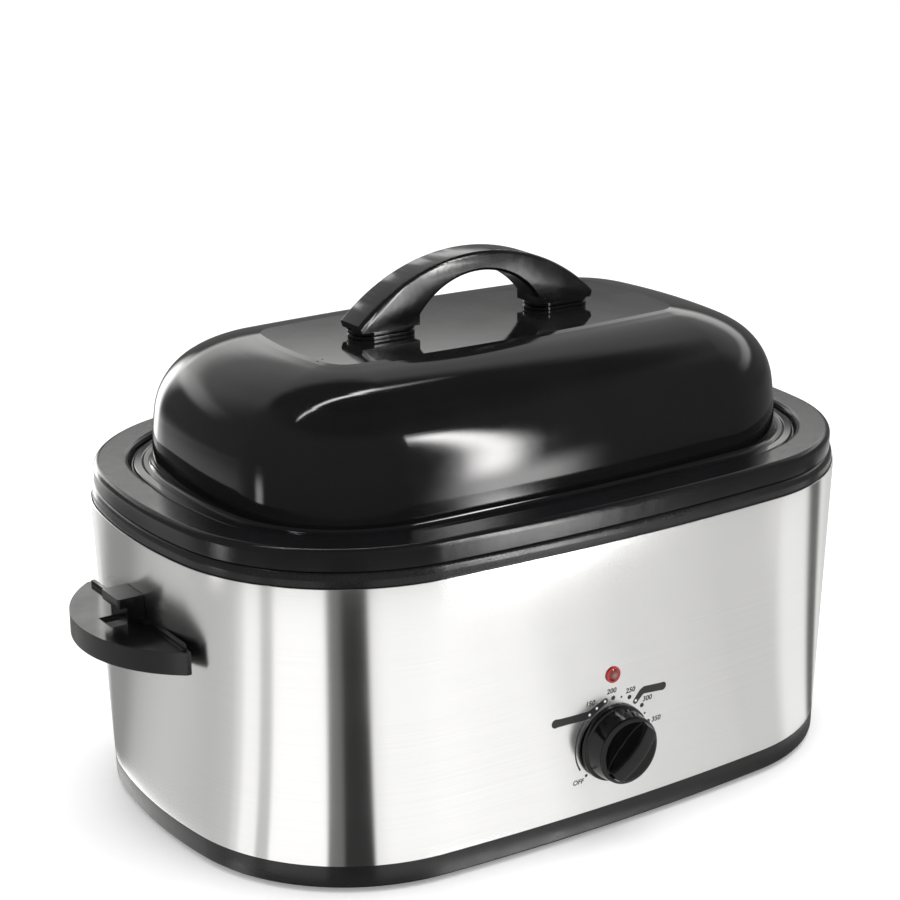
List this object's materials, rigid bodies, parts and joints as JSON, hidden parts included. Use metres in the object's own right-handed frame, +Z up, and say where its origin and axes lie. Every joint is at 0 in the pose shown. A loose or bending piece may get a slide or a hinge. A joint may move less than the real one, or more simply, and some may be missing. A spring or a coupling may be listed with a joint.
{
  "type": "electric roaster oven",
  "caption": "Countertop electric roaster oven: oval steel housing with knob and side handles, lift-out enamel pan, wire lifting rack and domed lift-off lid.",
  "frame": {"origin": "middle of the plane of the feet, on the housing's two symmetry planes", "axes": "+Z up, X along the length, -Y towards the user and the control knob"},
  "size_m": [0.599, 0.3859, 0.3651],
  "materials": {
    "enamel_black": "glossy vitreous enamel with a faint speckle",
    "rim_black": "satin black enamel",
    "stainless": "brushed stainless steel, grain along the wall",
    "base_black": "semi-gloss black paint",
    "zinc_steel": "bright zinc plate",
    "galvanised": "galvanised sheet",
    "rubber_black": "matte moulded rubber",
    "phenolic_black": "moulded heat-resistant plastic, semi-gloss",
    "chrome_wire": "bright nickel-chrome plated wire",
    "lens_red": "clear red moulded lens",
    "lamp_glass": "small neon lamp",
    "fibre_blanket": "loose glass-fibre blanket",
    "mica_band": "mica heater band",
    "ceramic_white": "glazed ceramic",
    "copper": "drawn copper",
    "sleeve_white": "braided glass sleeve"
  },
  "bodies": {
    "housing": {"base_skirt": "base_black", "bottom_plate": "galvanised", "feet": "rubber_black", "base_screws": "zinc_steel", "well_posts": "zinc_steel", "post_screws": "zinc_steel", "outer_wrap": "stainless", "top_rim": "rim_black", "inner_well": "enamel_black", "heating_band": "mica_band", "insulation_blanket": "fibre_blanket", "heater_clips": "zinc_steel", "handle_backing_left": "zinc_steel", "handle_backing_right": "zinc_steel", "side_handle_left": "phenolic_black", "side_handle_right": "phenolic_black", "side_handle_screws": "zinc_steel", "thermostat_bracket": "zinc_steel", "thermostat_body": "ceramic_white", "indicator_lens": "lens_red", "indicator_lamp": "lamp_glass", "lens_retainer": "zinc_steel", "cord_gland": "phenolic_black", "terminal_block": "ceramic_white", "sensing_bulb": "copper", "bulb_clips": "zinc_steel", "capillary_tube": "copper", "thermal_fuse": "ceramic_white", "lead_wires": "sleeve_white"},
    "pan": {"roasting_pan": "enamel_black"},
    "rack": {"rack_frame": "chrome_wire", "rack_rods": "chrome_wire", "rack_cross_bars": "chrome_wire"},
    "bail_left": {"rack_bail_left": "chrome_wire"},
    "bail_right": {"rack_bail_right": "chrome_wire"},
    "lid": {"lid_shell": "enamel_black", "lid_handle_pads": "phenolic_black", "lid_handle": "phenolic_black", "lid_handle_screws": "zinc_steel", "lid_handle_washers": "zinc_steel"},
    "knob": {"control_knob": "phenolic_black", "thermostat_shaft": "zinc_steel"}
  },
  "joints": [
    {"name": "pan_lift", "type": "slide", "parent": "housing", "child": "pan", "axis": [0, 0, 1], "range_m": [0, 0.077]},
    {"name": "rack_lift", "type": "slide", "parent": "pan", "child": "rack", "axis": [0, 0, 1], "range_m": [0, 0.151]},
    {"name": "bail_left_fold", "type": "hinge", "parent": "rack", "child": "bail_left", "pos_m": [-0.173, 0, 0.0794], "axis": [0, -1, 0], "range_deg": [0, 90]},
    {"name": "bail_right_fold", "type": "hinge", "parent": "rack", "child": "bail_right", "pos_m": [0.173, 0, 0.0794], "axis": [0, 1, 0], "range_deg": [0, 90]},
    {"name": "lid_lift", "type": "slide", "parent": "pan", "child": "lid", "axis": [0, 0, 1], "range_m": [0, 0.084]},
    {"name": "knob_turn", "type": "hinge", "parent": "housing", "child": "knob", "pos_m": [-0.0052, -0.19, 0.0656], "axis": [0, 1, 0], "range_deg": [0, 270]}
  ]
}
